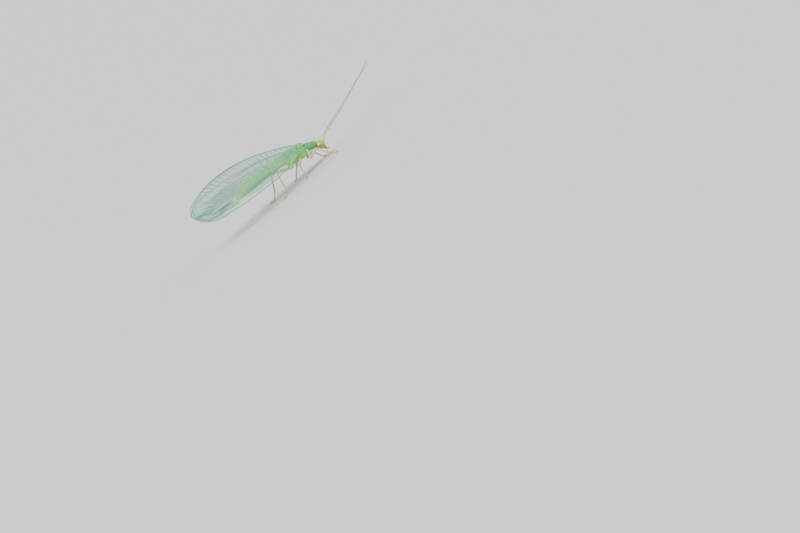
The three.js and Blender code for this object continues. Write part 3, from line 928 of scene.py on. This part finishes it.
def veins(rows, seed):
    """Lines of (u, v) with a thickness: long veins, ladders, branches, steps and the hind row."""
    pick = random.Random(seed)
    sc, r, rs, psm, psc = (along(points) for points in LONG_VEINS)
    lines = [(sc, RIB), (r, RIB * 1.2), (rs, RIB * 0.9), (psm, RIB * 0.85), (psc, RIB * 0.85)]
    lines += ladder(EDGE, sc, 0.041, 0.796, rows["costal"], 0.008, CROSS)
    lines += ladder(sc, r, 0.12, 0.76, CLOSE_STEPS, 0.004, TWIG)
    lines += ladder(r, rs, 0.16, 0.92, rows["radial"], 0.012, CROSS)
    branches = []
    count = rows["branches"]
    for i in range(count):
        share = i / (count - 1)
        u0 = mix(0.16, 0.95, share)
        u1 = u0 + mix(0.12, 0.17, smooth(share, 0.45, 0.9))
        start = (u0, at_share(rs, u0))
        end = (u1, at_share(psm, u1))
        if u1 >= BRANCHES_TO_TIP:
            end = (min(u1, 1.0), mix(0.72, 0.12, smooth(share, 0.62, 1.0)))
        mid = (mix(u0, end[0], 0.5) + 0.012, mix(start[1], end[1], 0.42))
        branches.append(along((start, mid, end), BRANCH_PARTS))
        lines.append((branches[-1], CROSS))
    for place, first in STEP_ROWS:
        for i in range(first, count - 2):
            k = round(place * BRANCH_PARTS) + pick.choice((0, 0, 1))
            lines.append(([branches[i][k], branches[i + 1][max(k - 3, 0)]], TWIG))
    lines += ladder(psm, psc, 0.1, 0.84, rows["middle"], 0.012, CROSS)
    for i in range(rows["hind"]):
        share = i / (rows["hind"] - 1)
        u0 = mix(0.05, 0.8, share)
        u1 = u0 + mix(0.03, 0.06, share)
        start = (u0, at_share(psc, u0))
        fork = (mix(u0, u1, 0.55), mix(start[1], 1, 0.6))
        lines.append((along((start, fork, (u1, 1.0)), 8), CROSS))
        lines.append(([fork, (u1 - 0.022, 1.0)], TWIG))
    for vein, edge in ((r, 0.0), (psc, 1.0)):
        for i in range(rows["tip"]):
            u = mix(0.855, 0.995, i / (rows["tip"] - 1))
            lines.append(([(u - 0.02, at_share(vein, u - 0.02)), (u, edge)], TWIG))
    for i in range(TIP_VEINS):
        v = mix(0.18, 0.82, i / (TIP_VEINS - 1))
        lines.append((along(((0.9, mix(0.62, v, 0.75)), (0.95, mix(0.55, v, 0.9)), (1.0, v)), 6), TWIG))
    return lines


ROWS_FORE = {"costal": 31, "radial": 15, "branches": 23, "middle": 13, "hind": 20, "tip": 11}
ROWS_HIND = {"costal": 22, "radial": 12, "branches": 17, "middle": 10, "hind": 14, "tip": 8}
FORE_SEED, HIND_SEED = 3, 5
print("forewing:", len(veins(ROWS_FORE, FORE_SEED)), "veins")

# %% [markdown]
# A vein is a hollow rib in life, round and green. Here each is a tube along its line on the wing, made
# as a curve with a round section whose radius is set point by point, and then turned into a mesh.

# %% Vein tubes
def tubes(lines):
    data = bpy.data.curves.new("ribs", "CURVE")
    data.dimensions = "3D"
    data.bevel_depth = 1
    data.bevel_resolution = 1
    data.use_fill_caps = True
    for points, radii in lines:
        spline = data.splines.new("POLY")
        spline.points.add(len(points) - 1)
        for knot, point, radius in zip(spline.points, points, radii):
            knot.co = (*point, 1)
            knot.radius = radius
    ribs = bpy.data.objects.new("ribs", data)
    bpy.context.scene.collection.objects.link(ribs)
    graph = bpy.context.evaluated_depsgraph_get()
    mesh = bpy.data.meshes.new_from_object(ribs.evaluated_get(graph))
    bpy.data.objects.remove(ribs)
    bpy.data.curves.remove(data)
    bm = bmesh.new()
    bm.from_mesh(mesh)
    bpy.data.meshes.remove(mesh)
    bmesh.ops.remove_doubles(bm, verts=bm.verts, dist=1e-5)
    bmesh.ops.recalc_face_normals(bm, faces=bm.faces)
    return bm


STEP = 0.22  # from one point of a vein to the next
RIM_PARTS, TIP_PARTS = 90, 6
RIM_FRONT, RIM_REAR = 0.052, 0.034
RIM_THINS, RIM_THIN = 20, 120  # the points of the rim between which it gets thinner


def rib_lines(form, rows, side, seed):
    at = wing_surface(form, side)
    made = []
    for line, thick in veins(rows, seed):
        way = path([at(u, v) for u, v in line], 2)
        count = max(2, round(way.length / STEP))
        radius = thick * form["stout"]
        made.append(([way(i / count) for i in range(count + 1)], [radius] * (count + 1)))
    rim = [at(i / RIM_PARTS, 0) for i in range(RIM_PARTS + 1)]
    rim += [at(1, i / TIP_PARTS) for i in range(1, TIP_PARTS + 1)]
    rim += [at(1 - i / RIM_PARTS, 1) for i in range(1, RIM_PARTS + 1)]
    thin = [smooth(i, RIM_THINS, RIM_THIN) for i in range(len(rim))]
    made.append((rim, [mix(RIM_FRONT, RIM_REAR, share) * form["stout"] for share in thin]))
    return made


# Veins are painted paler in front of the soft, bright abdomen: painted light, for its brightness
# behind them. They are paler in the hindwing too, which is the thinner wing.
def vein_colour(pale):
    def colour(p, normal):
        # painted light: the veins turn paler where the bright abdomen lies behind them
        painted_abdomen_light = smooth(p.x, -8.2, -7) * math.exp(-(((p.z - girth(p.x, 1)) / 0.7) ** 2))
        return shade_of(
            "#4ba682",
            ("#74b5a6", 0.45 * smooth(p.x, -7, -11.5)),
            ("#94ad8a", 0.5 * smooth(p.z, 3.4, 2.2)),
            ("#62c070", 0.8 * smooth(p.x, -2.5, 0.6)),
            # the painted light of the bright abdomen behind the veins
            ("#98e27c", 0.7 * painted_abdomen_light),
            ("#a4d8c6", pale),
        )

    return colour


vein_finish = cuticle("wing vein, pale green and glossy", 0.08, 0.35, soft=0.1)

# %% [markdown]
# Between the veins lies a membrane a few thousandths of a millimetre thick. It is clear, and its
# gloss splits light into faint blue, green and pink, as a soap film does, which are painted here as
# slow changes of colour. The sheet is made a fiftieth of a millimetre thick, with its two faces
# closed at the edge, and each face lets most of the light through. The stigma, a milky patch at the
# front edge near the tip, is a smaller and denser sheet.

# %% Membrane
DRIFT_MM = 1.6
RAINBOW = ("#4fb2c6", "#60c8a6", "#b894c8")


def film(name, alpha, shades=RAINBOW):
    made, tree = blank(name)
    place = add(tree, "ShaderNodeTexCoord").outputs["Object"]
    drift = add(
        tree, "ShaderNodeTexNoise",
        {"Vector": place, "Scale": 1 / (DRIFT_MM * MM), "Detail": 2, "Distortion": 0.6},
    )
    colours = add(tree, "ShaderNodeValToRGB", {"Fac": drift.outputs["Fac"]})
    stops = colours.color_ramp.elements
    stops[0].position, stops[0].color = 0.3, (*linear(shades[0]), 1)
    stops[1].position, stops[1].color = 0.72, (*linear(shades[2]), 1)
    middle = stops.new(0.52)
    middle.color = (*linear(shades[1]), 1)
    close(tree, add(
        tree, "ShaderNodeBsdfPrincipled",
        {
            "Base Color": colours.outputs["Color"],
            "Roughness": 0.12,
            "IOR": 1.56,
            "Alpha": alpha,
            "Coat Weight": 0.5,
            "Coat Roughness": 0.05,
        },
    ))
    return made


FILM_THICK, STIGMA_THICK = 0.02, 0.032
STIGMA = ((0.7, 0.9), (0.01, 0.075))


def membrane(form, side, columns=110, across=30, reach=((0, 1), (0, 1)), thick=FILM_THICK):
    at = wing_surface(form, side)
    bm = bmesh.new()
    bmesh.ops.create_grid(bm, x_segments=columns, y_segments=across, size=0.5)
    for v in bm.verts:
        v.co = at(mix(*reach[0], v.co.x + 0.5), mix(*reach[1], v.co.y + 0.5))
    bmesh.ops.recalc_face_normals(bm, faces=bm.faces)
    bmesh.ops.solidify(bm, geom=bm.faces[:], thickness=thick)
    bmesh.ops.recalc_face_normals(bm, faces=bm.faces)
    return bm


fore_film = film("forewing membrane, clear with rainbow gloss", 0.09)
hind_film = film("hindwing membrane, clear with rainbow gloss", 0.03)
stigma_film = film("wing stigma, milky green", 0.4, ("#b9dcc4", "#c9e6c6", "#d6e6d8"))
for word, side in SIDES:
    for kind, form, rows, clear, seed in (
        ("forewing", FOREWING, ROWS_FORE, fore_film, FORE_SEED),
        ("hindwing", HINDWING, ROWS_HIND, hind_film, HIND_SEED),
    ):
        node = f"{kind}_{word}"
        finished(membrane(form, side), f"{node}_film", clear, [node])
        patch = membrane(form, side, 24, 4, STIGMA, STIGMA_THICK)
        finished(patch, f"{node}_stigma", stigma_film, [node])
        ribs = tubes(rib_lines(form, rows, side, seed))
        painted(ribs, vein_colour(form["pale"]))
        finished(ribs, f"{node}_veins", vein_finish, [node])

# %% [markdown]
# Fine pale hairs grow on all of it: they lie back along the trunk, point to the toes on the legs,
# stand in whorls on the feelers and fringe the wings. Each is a thin three-sided cone rooted in the
# skin. For the export each hair has its own small patch on a map, at its root's place on an unrolled
# skin: along the part by across it.

# %% Hairs
HAIR_SPACE = 0.003  # the width of a hair's patch on the map
HAIR_TIP = 0.15  # the tip's thickness, as a share of the root's
HAIR_RISE = 0.38  # the middle's height over the root, as a share of the length, so its foot is sunk
BODY_HAIRS, WHORL, HAIR_SEED = 3600, 5, 11
EYE_BORDER = 0.05  # no hairs grow this close to an eye
LOW = 0.2  # a hair below this height on a leg turns up, clear of the floor


def coat(name, hairs, nodes):
    """hairs: (root, direction, length, thickness, place on the unrolled skin, colour)."""
    bm = bmesh.new()
    sheet = bm.loops.layers.uv.new("OFBake")
    paint = bm.verts.layers.float_color.new("Paint")
    for root, way, length, thick, place, shade in hairs:
        turn = way.to_track_quat("Z", "Y").to_matrix().to_4x4()
        stand = Matrix.Translation(root) @ turn
        cone = bmesh.ops.create_cone(
            bm, cap_ends=True, segments=3, radius1=thick, radius2=thick * HAIR_TIP, depth=length,
            matrix=stand @ Matrix.Translation((0, 0, length * HAIR_RISE)),
        )["verts"]
        back = stand.inverted()
        for v in cone:
            v[paint] = (*shade, 1)
            own = back @ v.co
            for loop in v.link_loops:
                loop[sheet].uv = (
                    place[0] + own.x / thick * HAIR_SPACE / 2,
                    place[1] + (own.y / thick + own.z / length) * HAIR_SPACE / 4,
                )
    finished(bm, name, hair_finish, nodes)


hair_finish = cuticle("fine pale hair, silky", 0.1, 0.4, soft=0.0)
draw = random.Random(HAIR_SEED)


def inside(share):
    """A share of the map's side, kept a little clear of the border."""
    return 0.02 + 0.96 * share


def strip(number, count, angle):
    """A place across the map: one strip for each leg or feeler, by the angle round it."""
    return 0.02 + (number + 0.1 + 0.8 * angle / math.tau) / (1.05 * count)


def unrolled(x, angle):
    return inside((x + 8) / 12), inside(angle / math.tau + 0.5)


def body_hairs(count):
    faces = list(body.data.polygons)
    hairs = []
    for face in draw.sample(faces, min(count, len(faces))):
        root = (face.center - SHIFT) / MM
        if (root - eye_place(math.copysign(1, root.y))).length < EYE_RADIUS + EYE_BORDER:
            continue
        head = smooth(root.x, 2.4, 2.7)
        length = mix(mix(0.13, 0.2, smooth(root.x, -1.5, -0.5)), 0.1, head) * draw.uniform(0.7, 1.2)
        back = Vector((-0.9 * (1 - head), 0, 0.1))
        way = face.normal * 0.55 + back + noise.noise_vector(root * 3) * 0.2
        angle = math.atan2(root.y, root.z - girth(root.x, 1))
        shade = shade_of("#cfe3b4", ("#8fae7c", draw.uniform(0, 0.6)))
        hairs.append((root, way.normalized(), length, 0.009, unrolled(root.x, angle), shade))
    return hairs


coat("body_hairs", body_hairs(BODY_HAIRS), TRUNK_NODES)
for number, (name, points) in enumerate(LEGS.items()):
    ring, knee, ankle = (Vector(p) for p in points[1:4])
    lengths = (
        (path([ring, knee]), THIGH, 110), (path([knee, ankle]), SHIN, 130), (foot_way(points), FOOT, 70),
    )
    hairs = []
    for part, (way, thick, count) in enumerate(lengths):
        for _ in range(count):
            t, angle = draw.uniform(0.03, 0.97), draw.uniform(0, math.tau)
            ahead = (way(t + 0.02) - way(t - 0.02)).normalized()
            out = Quaternion(ahead, angle) @ ahead.orthogonal().normalized()
            root = way(t) + out * thick * 0.8
            if root.z < LOW / 2 or out.z < -0.3 and root.z < LOW:
                continue
            lie = (ahead * 0.9 + out * 0.6 + UP * (0.4 if root.z < LOW else 0)).normalized()
            place = (strip(number, len(LEGS), angle), inside((part + t) / len(lengths)))
            shade = shade_of("#c9c9a0", ("#9a6a50", smooth(root.z, 0.9, 0.1)))
            hairs.append((root, lie, draw.uniform(0.07, 0.12), 0.007, place, shade))
    coat(f"{name}_hairs", hairs, [f"leg_{name}"])
for number, (word, points) in enumerate(FEELERS.items()):
    whip = path(points)
    hairs = []
    for joint in range(4, FEELER_JOINTS):
        t = joint / FEELER_JOINTS
        ahead = (whip(t + 0.01) - whip(t - 0.01)).normalized()
        side = ahead.orthogonal().normalized()
        for k in range(WHORL):
            angle = math.tau * (k + draw.random()) / WHORL
            out = Quaternion(ahead, angle) @ side
            root = whip(t) + out * mix(0.05, 0.028, t)
            place = (strip(number, len(FEELERS), angle), inside(t))
            way = (ahead + out * 0.7).normalized()
            hairs.append((root, way, 0.07, 0.006, place, shade_of("#a88672")))
    coat(f"feeler_{word}_hairs", hairs, [f"antenna_{word}"])

# %% [markdown]
# The fringe of a wing: fine hairs of about an eighth of a millimetre along both its edges, leaning
# outwards and towards the tip.

# %% Wing fringe
FRINGE = 300
for word, side in SIDES:
    for kind, form in (("forewing", FOREWING), ("hindwing", HINDWING)):
        at = wing_surface(form, side)
        hairs = []
        for edge in (0.0, 1.0):
            for i in range(FRINGE // 2):
                u = mix(0.08, 1.0, (i + draw.random()) / (FRINGE / 2))
                root = at(u, edge)
                out = (root - at(u, 0.5)).normalized()
                back = (at(min(u + 0.01, 1), edge) - at(u - 0.01, edge)).normalized()
                way = (out + back * 0.8).normalized()
                place = (inside(u), 0.05 + 0.9 * edge)
                hairs.append((root, way, draw.uniform(0.09, 0.15), 0.006, place, shade_of("#93b79c")))
        coat(f"{kind}_{word}_fringe", hairs, [f"{kind}_{word}"])
